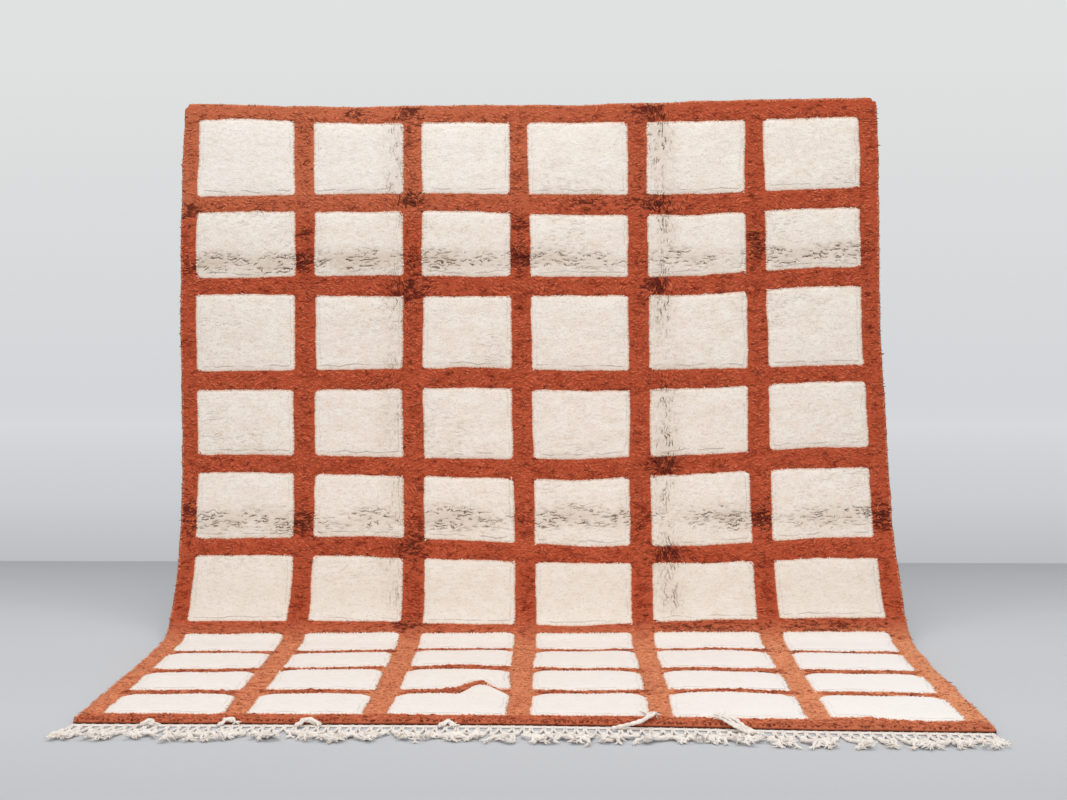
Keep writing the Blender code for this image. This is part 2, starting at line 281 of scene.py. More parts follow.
def row_edge(index, x):
    """Where edge number index, of 22, lies along the rug: front, front inner, the lines, top inner, top."""
    if index == 0:
        return 0.0 * x - FRONT_OVERHANG
    if index == 1:
        swell = 0.030 * bell(x - 0.87, 0.12) + 0.010 * bell(x + 0.40, 0.06)
        return FRONT_BORDER + wobble(14, x) + swell
    if index == 20:
        return np.interp(x, ROW_PLACES, TOP_INNER) + wobble(15, x)
    if index == 21:
        return np.interp(x, TOP_PLACES, TOP_EDGE) + wobble(39, x)
    line = (index - 2) // 2
    middle = np.interp(x, ROW_PLACES, ROW_LINES[line])
    width = np.interp(x, ROW_PLACES, ROW_LINE_WIDTHS[line])
    if line == 0:
        slip = x - SLIP_AT
        middle = middle + SLIP_REACH * bell(slip, SLIP_HALF_WIDTH)
        width = width * (1.0 - 0.84 * bell(slip - 0.046, 0.040)) * (1.0 + 1.30 * bell(slip + 0.040, 0.040))
    return middle + (-0.5 if index % 2 == 0 else 0.5) * width + wobble(14 + index, x)


def column_edges(along):
    return np.stack([column_edge(index, along) for index in range(14)])


def row_edges(x):
    return np.stack([row_edge(index, x) for index in range(22)])


def draw_in(near_gap, far_gap, row):
    """How far a panel's sides draw in at distances from its near and far ends, to round its corners."""
    return corner_shift(near_gap, CORNER_ROUND) + corner_shift(far_gap, FAR_ROUND[row])


def shifted_edge(index, along, shift):
    """A column's edge, with the panels' sides drawn in."""
    edge = column_edge(index, along)
    if index in (0, 13):
        return edge
    return edge + shift if index % 2 == 1 else edge - shift


def mesh_lines(edges, runs, spacing, rim):
    """Mesh lines over the segments and the rim: each one's segment, share of it, way out and height."""
    line, panel, fine = spacing
    segments, shares = [], []
    for segment, (low, high) in enumerate(zip(edges[:-1], edges[1:])):
        places = np.linspace(low, high, 400)
        gaps = np.full_like(places, panel if segment % 2 else line)
        for way, at, half_width, _ in CREASES:
            if fine and way == runs:
                middle = at * WIDTH / 2.0 if runs == "along" else at
                gaps += (fine - gaps) * bell(places - middle, half_width * 1.1)
        count = np.concatenate([[0.0], np.cumsum(np.diff(places) / gaps[1:])])
        cells = max(2, math.ceil(count[-1]))
        inner = np.interp(np.linspace(0.0, count[-1], cells + 1), count, (places - low) / (high - low))
        inner = inner[(1 if segment else 0):]
        segments += [segment] * len(inner)
        shares += list(inner)
    out, height = np.array(rim).T
    ends = len(rim) - 1
    return (np.pad(segments, ends, mode="edge"), np.pad(shares, ends, mode="edge"),
            np.concatenate([-out[:0:-1], np.zeros(len(shares)), out[1:]]),
            np.concatenate([height[:0:-1], np.ones(len(shares)), height[1:]]))


def inner_gap(segment, last, low_gap, high_gap):
    """The distance to the nearer edge of a segment, or to the inner edge of a border."""
    nearer = np.minimum(low_gap, high_gap)
    return np.where(segment == 0, high_gap, np.where(segment == last, low_gap, nearer))


class RugGrid:
    """Every mesh point of a layer of the rug, in rows and columns that follow the edges of the colours."""

    def __init__(self, spacing, rim):
        edges = column_edges(LENGTH / 2.0)
        column, share, out, rim_height = mesh_lines(edges, "along", spacing, rim)
        row, row_share, row_out, row_rim = mesh_lines(row_edges(0.0), "across", spacing, rim)
        self.column_segment, self.row_segment = column, row
        self.columns, self.rows = len(column), len(row)
        self.rim = np.minimum(rim_height[None, :], row_rim[:, None])
        nominal = edges[column] + (edges[column + 1] - edges[column]) * share
        lines = row_edges(nominal)
        row_low, row_high = lines[row], lines[row + 1]
        row, row_share = row[:, None], row_share[:, None]
        along = row_low + (row_high - row_low) * row_share
        between = FAR_ROUND[row - 1] + (CORNER_ROUND - FAR_ROUND[row - 1]) * row_share
        shift = np.where(row % 2 == 1, draw_in(along - row_low, row_high - along, row), between)
        low, high = np.zeros_like(along), np.zeros_like(along)
        for index in range(13):
            pick = column == index
            low[:, pick] = shifted_edge(index, along[:, pick], shift[:, pick])
            high[:, pick] = shifted_edge(index + 1, along[:, pick], shift[:, pick])
        x = low + (high - low) * share
        out_x, out_along = out[None, :] + 0.0 * x, row_out[:, None] + 0.0 * x
        size = np.maximum(np.hypot(out_x, out_along), 1e-9)
        rounding = np.maximum(np.abs(out_x), np.abs(out_along)) / size
        self.inner_x, self.inner_along = x, along
        self.x, self.along = x + out_x * rounding, along + out_along * rounding

        # Distances to the edge of the colour, and the crown of the panels
        gap_x = inner_gap(column, 12, x - low, high - x)
        gap_along = inner_gap(row, 20, along - row_low, row_high - along)
        in_line = np.maximum(np.where(column % 2 == 0, gap_x, 0.0), np.where(row % 2 == 0, gap_along, 0.0))
        self.line = (column % 2 == 0) | (row % 2 == 0)
        self.edge_gap = np.where(self.line, in_line, np.minimum(gap_x, gap_along))
        crown = (1.0 - (2.0 * share - 1.0) ** 4) * (1.0 - (2.0 * row_share - 1.0) ** 4)
        self.crown = np.where(self.line, 0.0, crown)
        gaps = np.stack([along - row_low, high - x, x - low, row_high - along])
        self.shaded_side = np.array([1.0, 0.55, 0.35, 0.10])[gaps.argmin(axis=0)]


# ---- the height of the pile

def crease_fields(x, along):
    """How open the pile is along the folds: the bands that run along the rug, and those across it."""
    fields = {"along": np.zeros_like(x), "across": np.zeros_like(x)}
    waver, patchy = Noise(31), Noise(32)
    for way, at, half_width, opening in CREASES:
        offset, run = (x - at * WIDTH / 2.0, along) if way == "along" else (along - at, x)
        offset = offset + 0.018 * waver(run / 0.22, at * 7.0)
        inside = smooth((along - CREASE_START) / 0.15) if way == "along" else 1.0
        strength = np.clip(0.72 + 0.75 * patchy(run / 0.19, at * 5.0), 0.15, 1.3)
        fields[way] = np.maximum(fields[way], opening * bell(offset, half_width) * inside * strength)
    return fields["along"], fields["across"]


def dark_spots(x, along):
    """How far the pile of the lines has parted, from 0 to 1."""
    ragged = 1.0 + 0.25 * Noise(33)(x / 0.035, along / 0.030)
    depth = np.zeros_like(x)
    for spot_x, spot_along, wide, long, deep in DARK_SPOTS:
        here = bell(x - spot_x, wide * ragged) * bell(along - spot_along, long * ragged)
        depth = np.maximum(depth, here * deep)
    return depth


def lies(x, along):
    """How much painted light the pile gets where it leans open to the light: on the floor, and a little at
    the top.
    """
    light_share = smooth((FLOOR_END - along) / 0.22) * (0.80 + 0.46 * smooth(x / 1.2))
    return light_share + 0.34 * smooth((along - 2.60) / 0.16) * smooth((1.0 - x) / 1.6)


def dim(along):
    return bell(along - DIM_AT, DIM_HALF_WIDTH)


def crack_rows(run, over, seed):
    """Rows of cracks that follow a fold: how many rows along each place is, and how open a crack is."""
    bend = 0.90 * Noise(seed)(run / 0.060, over / 0.050) + 0.55 * Noise(seed + 1)(run / 0.021, over / 0.026)
    opening = Noise(seed + 2)(run / 0.024, over / 0.010) + 0.6 * Noise(seed + 3)(run / 0.09, over / 0.03)
    return over / CRACK_PITCH + bend, smooth((opening + 0.20) / 0.60)


def crack_line(rows, half_width=0.36):
    """1 in the middle of a crack and 0 past its half width, given in rows."""
    return np.clip(1.0 - np.abs(rows - np.floor(rows) - 0.5) / half_width, 0.0, 1.0)


def pile_opening(crease, spots):
    """How far the long pile opens between its tufts, from 0 to 1."""
    return np.clip(0.45 * crease + spots, 0.0, 1.0)


def turned(lengthwise):
    """1 where the long pile lies along the rug rather than across it: over the lengthwise folds."""
    return smooth(lengthwise * 2.4 - 0.3)


def lumps(x, along):
    """The slow rise and fall of the pile."""
    return LUMP_HEIGHT * Noise(1)(x / LUMP_SIZE, along / LUMP_SIZE)


def pile_surface(grid):
    """Height of the pile at every mesh point, and the attributes that its materials read."""
    x, along, line = grid.inner_x, grid.inner_along, grid.line
    lengthwise, crosswise = crease_fields(x, along)
    crease = np.maximum(lengthwise, crosswise)
    faint = 0.16 + 0.20 * smooth((Noise(65)(x / 0.25, along / 0.20) - 0.05) / 0.5)
    faint = faint * smooth((along - 1.15) / 0.3)
    columns, open_columns = crack_rows(along, x, 41)
    rows, open_rows = crack_rows(x, along, 51)
    open_columns = open_columns * np.clip(lengthwise * 1.5, 0.0, 1.0)
    open_rows = open_rows * np.clip(np.maximum(crosswise * 1.5, faint), 0.0, 1.0)
    cracks = np.maximum(open_columns * crack_line(columns), open_rows * crack_line(rows))
    clumps = Noise(72)((x + 0.006 * Noise(71)(x / 0.02, along / 0.02)) / 0.014, along / 0.019)
    tufts = Noise(73)(x / 0.030, along / 0.013)
    spots = dark_spots(x, along)
    height = LINE_PILE + PANEL_CROWN * grid.crown + lumps(x, along)
    height = height + np.where(line, 0.0014 * tufts - ROOT_DEPTH - 0.003 * spots, 0.0010 * clumps)
    height = height - np.where(line, 0.0, 0.0035) * bell(grid.edge_gap, 0.005)
    height = height - crease * 0.0020 - cracks * np.where(line, 0.003, 0.0040)
    return {
        "lift": GROUND * 0.5 + (height + GROUND * 0.5) * grid.rim,
        "crack_columns": columns, "open_columns": open_columns,
        "crack_rows": rows, "open_rows": open_rows,
        "crease": crease, "open": pile_opening(crease, spots), "turned": turned(lengthwise),
        "edge": np.clip(grid.edge_gap / 0.03, 0.0, 1.0), "shaded_side": grid.shaded_side,
        "lies": lies(x, along) * np.where(along > FRONT_BORDER, 1.0, 0.35),
        "dim": dim(along), "low": 1.0 - grid.rim,
    }


# ---- mesh helpers

def make_active(thing):
    bpy.ops.object.select_all(action="DESELECT")
    thing.select_set(True)
    bpy.context.view_layer.objects.active = thing


def set_points(thing, points):
    thing.data.vertices.foreach_set("co", np.asarray(points, np.float32).reshape(-1))
    thing.data.update()


def add_attribute(mesh, name, values):
    attribute = mesh.attributes.new(name, "FLOAT", "POINT")
    attribute.data.foreach_set("value", np.asarray(values, np.float32).reshape(-1))


def write_uv(mesh, u, v, name="rug_metres"):
    """A UV map in metres from values at the mesh's points."""
    corners = np.empty(len(mesh.loops), np.int32)
    mesh.loops.foreach_get("vertex_index", corners)
    layer = mesh.uv_layers.get("UVMap") or mesh.uv_layers.new()
    layer.name = name
    values = np.stack([np.asarray(part).reshape(-1)[corners] for part in (u, v)], axis=-1)
    layer.data.foreach_set("uv", values.astype(np.float32).reshape(-1))


def add_grid(name, cells_x, cells_y):
    """A flat grid of cells, and the column and row of each of its points."""
    bpy.ops.object.select_all(action="DESELECT")
    bpy.ops.mesh.primitive_grid_add(x_subdivisions=cells_x, y_subdivisions=cells_y, size=2.0)
    thing = bpy.context.object
    thing.name = name
    points = mesh_points(thing.data)
    column, row = (np.rint((points[:, axis] + 1.0) / 2.0 * cells).astype(int)
                   for axis, cells in ((0, cells_x), (1, cells_y)))
    return thing, column, row


def add_copies(name, points, faces, count):
    """One smooth object of count alike parts, from all their points and the triangles of one."""
    faces = np.array(faces)
    triangles = (faces[None] + len(points) // count * np.arange(count)[:, None, None]).reshape(-1, 3)
    mesh = bpy.data.meshes.new(name)
    mesh.vertices.add(len(points))
    mesh.vertices.foreach_set("co", np.asarray(points, np.float32).reshape(-1))
    mesh.loops.add(triangles.size)
    mesh.loops.foreach_set("vertex_index", triangles.astype(np.int32).reshape(-1))
    mesh.polygons.add(len(triangles))
    mesh.polygons.foreach_set("loop_start", np.arange(0, triangles.size, 3, dtype=np.int32))
    mesh.update()
    mesh.validate()
    mesh.shade_smooth()
    thing = bpy.data.objects.new(name, mesh)
    bpy.context.scene.collection.objects.link(thing)
    return thing


def unit(vectors):
    return vectors / np.maximum(np.linalg.norm(vectors, axis=-1, keepdims=True), 1e-6)


# ---- the pile

def add_layer(name, spacing, rim):
    """A layer of the rug, the place of each point in its grid, and each face's panel row, 0 for rust."""
    grid = RugGrid(spacing, rim)
    layer, column, row = add_grid(name, grid.columns - 1, grid.rows - 1)
    corners = np.empty(len(layer.data.polygons) * 4, np.int32)
    layer.data.polygons.foreach_get("vertices", corners)
    corners = corners.reshape(-1, 4)
    column_segment = grid.column_segment[column[corners].max(axis=1)]
    row_segment = grid.row_segment[row[corners].max(axis=1)]
    cream = (column_segment % 2 == 1) & (row_segment % 2 == 1)
    layer.data.shade_smooth()
    return layer, grid, (row, column), np.where(cream, (row_segment + 1) // 2, 0)


def add_pile():
    """The whole pile as one mesh, then parted into the rust lines and a piece for each row of panels."""
    pile, grid, pick, panel_rows = add_layer("pile", PILE_SPACING, RIM)
    surface = pile_surface(grid)
    set_points(pile, place(grid.x[pick], grid.along[pick], surface.pop("lift")[pick]))
    write_uv(pile.data, grid.x[pick], grid.along[pick])
    for name, values in surface.items():
        add_attribute(pile.data, name, values[pick])
    for index in range(11):
        pile.data.materials.append(bpy.data.materials.new(f"parting_{index}"))
    pile.data.polygons.foreach_set("material_index", panel_rows.astype(np.int32))
    make_active(pile)
    bpy.ops.object.mode_set(mode="EDIT")
    bpy.ops.mesh.select_all(action="SELECT")
    bpy.ops.mesh.separate(type="MATERIAL")
    bpy.ops.object.mode_set(mode="OBJECT")
    panels = []
    for thing in list(bpy.context.selected_objects):
        slot = thing.data.materials[thing.data.polygons[0].material_index].name
        number = int(slot.split("_")[1])
        if number == 0:
            thing.name = "rust_pile_roots"
            roots = thing
        else:
            thing.name = f"cream_panels_row_{number}"
            panels.append(thing)
    return roots, panels


def add_ground():
    """The woven ground: a thin closed sheet, whose back shows the pattern of the knots."""
    ground, grid, pick, panel_rows = add_layer("woven_ground", GROUND_SPACING, ((0.0, 1.0),))
    set_points(ground, place(grid.x[pick], grid.along[pick], np.full(len(pick[0]), GROUND / 2.0)))
    write_uv(ground.data, grid.x[pick], grid.along[pick])
    ground.data.materials.append(woven_back("woven_cream_back", CREAM_BACK))
    ground.data.materials.append(woven_back("woven_rust_back", RUST_BACK))
    ground.data.polygons.foreach_set("material_index", (panel_rows == 0).astype(np.int32))
    solid = ground.modifiers.new("thickness", "SOLIDIFY")
    solid.thickness = GROUND * 0.9
    solid.offset = 0.0
    make_active(ground)
    bpy.ops.object.modifier_apply(modifier=solid.name)
    return ground


def find_cell(x, along):
    """The column and row segment of any places on the rug; both are odd inside a cream panel."""
    rows = row_edges(x)
    row = np.clip((along > rows).sum(axis=0) - 1, 0, 20)
    low, high = (np.take_along_axis(rows, row[None] + up, 0)[0] for up in (0, 1))
    shift = np.where(row % 2 == 1, draw_in(along - low, high - along, row), 0.0)
    columns = np.stack([shifted_edge(index, along, shift) for index in range(14)])
    return np.clip((x > columns).sum(axis=0) - 1, 0, 12), row


def rim_gaps(x, along):
    """How far places are from the left, the right, the front and the top edge of the rug."""
    return np.stack([x - column_edge(0, along), column_edge(13, along) - x, along - row_edge(0, x),
                     row_edge(21, x) - along])


RIM_HEADINGS = np.array([-math.pi / 2.0, math.pi / 2.0, 0.0, math.pi])


def surface_frame(x, along, lift):
    """Points on the rug, with the directions across it, along it and out of it."""
    step = 0.002
    across = unit(place(x + step, along, lift) - place(x - step, along, lift))
    outward = unit(np.cross(across, place(x, along + step, lift) - place(x, along - step, lift)))
    return place(x, along, lift), across, np.cross(outward, across), outward


def add_locks(name, locks):
    """Small curved tufts in one mesh, each with a three-sided root and middle and a pointed tip.

    locks has an array for each measure. A heading is 0 towards the front edge, and a quarter turn towards
    the right, width is half the width, and stand is how high the middle of the tuft is over its root.
    """
    point, across, upward, outward = surface_frame(locks["x"], locks["along"], locks["lift"])
    x, along, turn, length, width, stand, sway, droop = (locks[key][:, None] for key in (
        "x", "along", "heading", "length", "width", "stand", "sway", "droop"))
    lean = across * np.sin(turn) - upward * np.cos(turn)
    root = point - outward * LOCK_ROOT
    middle = point + lean * length * 0.45 + outward * stand
    tip = point + lean * length + outward * stand * droop + np.cross(outward, lean) * sway
    rings = []
    for centre, end, size in ((root, middle, 0.9), (middle, tip, 1.0)):
        ahead = unit(end - centre)
        side = unit(np.cross(ahead, outward + 1e-6))
        top = np.cross(side, ahead)
        for corner in range(3):
            angle = math.pi / 2.0 + corner * math.tau / 3.0
            rings.append(centre + width * size * (side * math.cos(angle) + top * 0.6 * math.sin(angle)))
    faces = [(0, 1, 2)]
    for low, high in ((0, 1), (1, 2), (2, 0)):
        faces += [(low, 3 + low, 3 + high), (low, 3 + high, high), (3 + low, 6, 3 + high)]
    count = len(point)
    thing = add_copies(name, np.stack(rings + [tip], axis=1).reshape(-1, 3), faces, count)
    add_attribute(thing.data, "reach", np.tile([0, 0, 0, 0.6, 0.6, 0.6, 1.0], count))
    for key in ("tone", "open", "turned", "lies"):
        add_attribute(thing.data, key, np.repeat(locks[key], LOCK_VERTICES))
    over = np.array([0.0, -1.0, 1.0, 0.0, -1.0, 1.0, 0.0]) * width * 0.87
    down = np.array([0.0, 0.0, 0.0, 0.45, 0.45, 0.45, 1.0]) * length
    write_uv(thing.data, x + np.sin(turn) * down + np.cos(turn) * over,
             along - np.cos(turn) * down + np.sin(turn) * over)
    write_uv(thing.data, over + x, down + along, "lock_metres")
    return thing


def jittered_places(rng, pitch):
    """Staggered rows of places over the whole rug, each moved a little."""
    across = np.arange(-WIDTH / 2.0, WIDTH / 2.0 + pitch, pitch)
    rows = np.arange(-FRONT_OVERHANG, LENGTH + 0.03, pitch * math.sqrt(3.0) / 2.0)
    x, along = np.meshgrid(across, rows)
    x = x + (np.arange(len(rows)) % 2)[:, None] * pitch / 2.0
    x, along = ((places + rng.uniform(-JITTER, JITTER, x.shape) * pitch).ravel() for places in (x, along))
    inside = rim_gaps(x, along).min(axis=0) > -0.002
    return x[inside], along[inside]


def tip_on_cream(x, along, heading, length):
    """Whether locks would reach over a cream panel."""
    column, row = find_cell(x + np.sin(heading) * length, along - np.cos(heading) * length)
    return (column % 2 == 1) & (row % 2 == 1)


def keep_in_line(x, along, heading, length):
    """Turn the locks whose ends would reach over a cream panel back into their line."""
    for turned_back in (lambda angle: -angle, lambda angle: math.pi - angle, lambda angle: -angle):
        heading = np.where(tip_on_cream(x, along, heading, length), turned_back(heading), heading)
    return heading


def lock_headings(rng, x, along, turned_here):
    """Locks lie mostly across the rug, in patches that lean either way, and along it on a lengthwise fold."""
    way = np.where(Noise(81)(x / 0.21, along / 0.16) + 0.12 > 0.0, 1.0, -1.0)
    heading = way * (1.15 + 0.60 * Noise(82)(x / 0.05, along / 0.04)) + rng.normal(0.0, 0.26, len(x))
    upright = 0.8 * Noise(83)(x / 0.04, along / 0.05) + rng.normal(0.0, 0.24, len(x))
    return heading + (upright - heading) * turned_here


def cream_gap(x, along, column, row):
    """How far places in the lines are from the panel beside them, and 1 where they are below it."""
    across = np.abs(column_edges(along)[1:13] - x).min(axis=0)
    lengthwise = np.abs(row_edges(x)[1:21] - along)
    beside = np.where(row % 2 == 1, across, np.where(column % 2 == 1, lengthwise.min(axis=0), 1.0))
    below = np.where(lengthwise.argmin(axis=0) % 2 == 1, 1.0, 0.0)
    return beside, np.where(row % 2 == 1, 0.5, below)


def add_rust_locks():
    """The long pile of the lines, parted into the border, the lines along the rug and those across it."""
    rng = np.random.default_rng(2)
    x, along = jittered_places(rng, LOCK_PITCH)
    column, row = find_cell(x, along)
    rust = (column % 2 == 0) | (row % 2 == 0)
    x, along, column, row = (values[rust] for values in (x, along, column, row))
    count = len(x)
    lengthwise, crosswise = crease_fields(x, along)
    spots = dark_spots(x, along)
    turned_here = turned(lengthwise)
    length = rng.uniform(0.020, 0.036, count)
    heading = keep_in_line(x, along, lock_headings(rng, x, along, turned_here), length)
    gaps = rim_gaps(x, along)
    nearest, gap = gaps.argmin(axis=0), gaps.min(axis=0)
    rim = gap < RIM_WIDTH
    side_rim = rim & (nearest != 2)
    length = np.where(rim, length * 0.38, length)
    heading = np.where(rim, RIM_HEADINGS[nearest] + rng.normal(0.0, 0.35, count), heading)
    length = np.where(tip_on_cream(x, along, heading, length), length * 0.60, length)
    beside, lower = cream_gap(x, along, column, row)
    near_cream = smooth(1.0 - beside / 0.011)
    patches = 0.18 * smooth((Noise(86)(x / 0.045, along / 0.030) - 0.15) / 0.35)
    front_shade = smooth(1.0 - gaps[2] / 0.018)
    # painted shade on the lines across that sink between the panels on the floor
    sunken_shade = (row > 0) & (row % 2 == 0) & (column % 2 == 1) & (along < FLAT_END)
    # painted shadow: the pile parts more along the lines' edges towards the front of the rug
    opening = pile_opening(np.maximum(lengthwise, crosswise), spots) + patches + 0.30 * near_cream * lower
    opening = opening + 0.25 * (row == 0) + 0.45 * front_shade + 0.25 * sunken_shade
    clump = Noise(84)(x / 0.019, along / 0.015)
    lift = GROUND + LINE_PILE - 0.0038 + lumps(x, along) - 0.003 * spots + 0.0017 * clump
    lift = np.where(side_rim, lift - 0.0012, lift)
    # painted glow: paler pile along the sides and the top, as light shows through its fuzz
    rim_glow = 0.65 * smooth(1.0 - gap / 0.009) * (nearest != 2)
    light_share = lies(x, along) * np.where(row > 0, 1.0 - 0.45 * sunken_shade, 0.35)
    narrow = rng.random(count) < 0.6
    width = np.where(narrow, rng.uniform(0.0026, 0.0036, count), rng.uniform(0.0038, 0.0058, count))
    locks = {
        "x": x, "along": along, "lift": lift, "heading": heading, "length": length, "width": width,
        "stand": rng.uniform(0.0014, 0.0040, count), "sway": rng.normal(0.0, 0.004, count),
        "droop": np.where(side_rim, rng.uniform(-1.4, 0.2, count), rng.uniform(-0.1, 0.8, count)),
        "open": np.clip(opening, 0.0, 1.0), "turned": turned_here, "lies": np.maximum(light_share, rim_glow)}
    tone = 0.50 + 0.34 * clump + 0.24 * Noise(85)(x / 0.07, along / 0.05) + rng.normal(0.0, 0.10, count)
    # painted light: paler rust beside the cream, most along the lines' edges towards the top of the rug
    tone = tone + 0.35 * near_cream * (1.0 - lower)
    # painted shade: darker at the front rim, on the lines across that sink between the panels, and in the
    # bend
    tone = tone - 0.55 * front_shade - 0.40 * sunken_shade - 0.30 * dim(along)
    locks["tone"] = np.clip(tone, 0.0, 1.0)
    border = (column == 0) | (column == 12) | (row == 0) | (row == 20)
    upright = (column % 2 == 0) & ~border
    parts = {"border_locks": border, "lengthwise_line_locks": upright,
             "crosswise_line_locks": ~border & ~upright}
    return [add_locks(name, {key: values[chosen] for key, values in locks.items()})
            for name, chosen in parts.items()]


def add_short_locks(name, rng, places, light_share, ranges):
    """Locks at places (x, along, lift, heading), each measure at random in its range."""
    x, along, lift, heading = places
    count = len(x)
    locks = {"x": x, "along": along, "lift": lift, "heading": heading, "open": np.zeros(count),
             "turned": np.zeros(count), "lies": light_share}
    for key, (low, high) in ranges.items():
        draw = rng.normal if key == "sway" else rng.uniform
        locks[key] = draw(low, high, count)
    return add_locks(name, locks)


def panel_outline(column, row, pitch):
    """Places around one cream panel, and the heading out of it at each."""
    middle_x = (column_edge(column, 1.5) + column_edge(column + 1, 1.5)) / 2.0
    low, high = (float(row_edge(index, middle_x)) for index in (row, row + 1))
    runs = np.arange(low + CORNER_ROUND * 0.8, high - FAR_ROUND[row] * 0.6, pitch)
    shift = draw_in(runs - low, high - runs, row)
    places = []
    for edge, side in ((column, 1.0), (column + 1, -1.0)):
        places.append((column_edge(edge, runs) + side * shift, runs,
                       np.full_like(runs, -side * math.pi / 2.0)))
    ends = ((row, low, 0.0, CORNER_ROUND), (row + 1, high, math.pi, FAR_ROUND[row]))
    for edge, end, heading, inset in ends:
        x = np.arange(column_edge(column, end) + inset, column_edge(column + 1, end) - inset, pitch)
        places.append((x, row_edge(edge, x), np.full_like(x, heading)))
    return np.concatenate([np.stack(part) for part in places], axis=1)


def add_cream_edge_locks():
    """A row of short locks around every panel, which lean out over the rust."""
    rng = np.random.default_rng(3)
    outlines = [panel_outline(column, row, EDGE_LOCK_PITCH)
                for row in range(1, 21, 2) for column in range(1, 13, 2)]
    x, along, heading = np.concatenate(outlines, axis=1)
    inset = rng.uniform(0.005, 0.008, len(x))
    x = x - np.sin(heading) * inset
    along = along + np.cos(heading) * inset
    heading = heading + rng.normal(0.0, 0.60, len(x))
    lift = GROUND + LINE_PILE + lumps(x, along) - 0.0016
    return add_short_locks("cream_edge_locks", rng, (x, along, lift, heading), lies(x, along), {
        "length": (0.0075, 0.0110), "width": (0.0036, 0.0056), "stand": (0.0003, 0.0016),
        "sway": (0.0, 0.003), "droop": (-2.2, -0.2), "tone": (0.0, 1.0)})


def add_rim_locks():
    """Fine wisps that stand out all round the sides and the top, past the border's locks."""
    rng = np.random.default_rng(4)
    along = np.arange(-0.006, LENGTH - 0.004, WISP_PITCH)
    across = np.arange(-1.18, 1.18, WISP_PITCH)
    edges = [np.stack([column_edge(0, along), along, np.full_like(along, RIM_HEADINGS[0])]),
             np.stack([column_edge(13, along), along, np.full_like(along, RIM_HEADINGS[1])]),
             np.stack([across, row_edge(21, across), np.full_like(across, RIM_HEADINGS[3])])]
    x, along, heading = np.concatenate(edges * 3, axis=1)
    x, along = (places + rng.uniform(-0.002, 0.002, len(x)) for places in (x, along))
    lift = GROUND + rng.uniform(0.000, LINE_PILE, len(x))
    heading = heading + rng.normal(0.0, 0.45, len(x))
    # painted light: the wisps are drawn pale everywhere
    light_share = np.maximum(lies(x, along), 0.6)
    return add_short_locks("border_wisps", rng, (x, along, lift, heading), light_share, {
        "length": (0.008, 0.0125), "width": (0.0018, 0.0032), "stand": (-0.001, 0.002),
        "sway": (0.0, 0.002), "droop": (-1.0, 1.0), "tone": (0.5, 1.0)})


# ---- the fringe

def smooth_paths(corners, count):
    """Catmull-Rom curves through the corners of many cords: (cords, corners, 3) to (cords, count, 3)."""
    first = 2.0 * corners[:, :1] - corners[:, 1:2]
    last = 2.0 * corners[:, -1:] - corners[:, -2:-1]
    padded = np.concatenate([first, corners, last], axis=1)
    spans = corners.shape[1] - 1
    share = np.linspace(0.0, spans, count)
    span = np.minimum(share.astype(int), spans - 1)
    share = (share - span)[None, :, None]
    before, start, end, after = (padded[:, span + step] for step in range(4))
    curve = 2.0 * start + (end - before) * share
    curve = curve + (2.0 * before - 5.0 * start + 4.0 * end - after) * share ** 2
    return 0.5 * (curve + (3.0 * start - before - 3.0 * end + after) * share ** 3)


def add_cords(name, paths, radius, turn_length, sides=6):
    """Two-ply cords in one mesh, along paths of (cords, points, 3): a twisted two-lobed section."""
    cords, count, _ = paths.shape
    ahead = np.gradient(paths, axis=1)
    run = np.cumsum(np.linalg.norm(ahead, axis=2), axis=1)
    ahead = unit(ahead)
    side = unit(np.cross(ahead, np.array([0.0, 0.0, 1.0]) + 0.0 * ahead))
    top = np.cross(side, ahead)
    twist = run / turn_length * math.tau
    rings = []
    for corner in range(sides):
        angle = corner * math.tau / sides + 0.0 * twist
        reach = (radius * (0.82 + 0.18 * np.cos(angle * 2.0 - twist)))[..., None]
        rings.append(paths + reach * (side * np.cos(angle)[..., None] + top * np.sin(angle)[..., None]))
    points = np.stack(rings, axis=2).reshape(-1, 3)
    points[:, 2] = np.maximum(points[:, 2], 0.0004)
    faces = []
    for ring in range(0, (count - 1) * sides, sides):
        for corner in range(sides):
            here, beside = ring + corner, ring + (corner + 1) % sides
            faces += [(here, beside, beside + sides), (here, beside + sides, here + sides)]
    end = (count - 1) * sides
    for corner in range(1, sides - 1):
        faces += [(0, corner + 1, corner), (end, end + corner, end + corner + 1)]
    thing = add_copies(name, points, faces, cords)
    write_uv(thing.data, np.repeat(run.reshape(-1), sides), np.tile(np.arange(sides) / sides, cords * count))
    return thing


def edge_place(x, out, height):
    """Points off the front edge: out is how far in front of it, over the floor."""
    return np.stack([x, front_edge(x) - out, height + 0.0 * x], axis=-1) + SHIFT * (1.0, 1.0, 0.0)


def clump_place(x):
    """Where the loose ends that start at x gather: uneven clumps, each drawn a little to one side."""
    number = np.floor((x + 0.030 * Noise(92)(x / 0.21, 0.5)) / CLUMP_PITCH)
    return (number + 0.5) * CLUMP_PITCH + 0.034 * Noise(93)(number * 0.61, 0.5)


